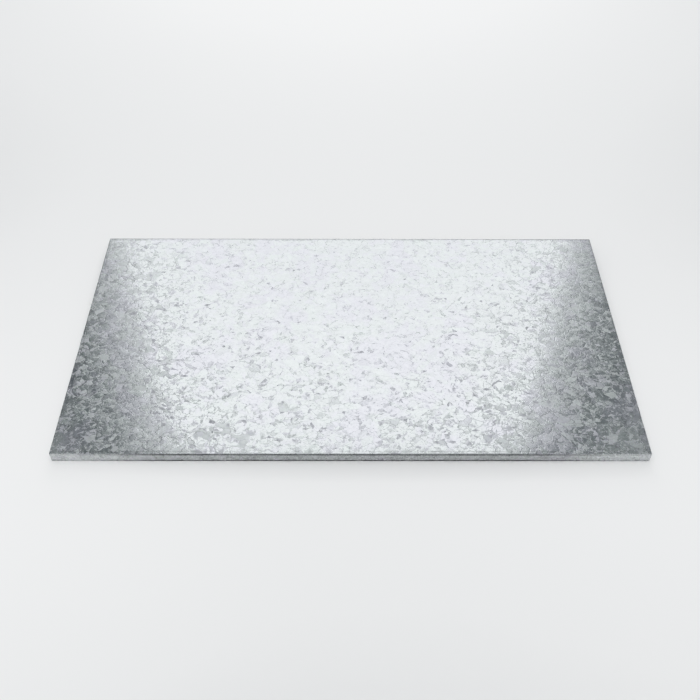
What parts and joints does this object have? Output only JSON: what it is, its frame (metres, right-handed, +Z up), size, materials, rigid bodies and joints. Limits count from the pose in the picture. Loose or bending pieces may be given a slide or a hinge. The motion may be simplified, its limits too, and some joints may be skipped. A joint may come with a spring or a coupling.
{
  "type": "steel plate",
  "caption": "Flat rectangular steel plate with a spangled galvanised surface, solid and plain, kept as raw stock for cutting, drilling, welding or laying as a base.",
  "frame": {"origin": "centre of the underside, on the floor the plate lies on", "axes": "+X along the long edges, +Y from the near long edge to the far one, +Z up through the thickness"},
  "size_m": [1, 0.55, 0.02],
  "materials": {
    "galvanised_steel": "hot-dip galvanised, spangled"
  },
  "bodies": {
    "root": {"plate": "galvanised_steel"}
  },
  "joints": []
}
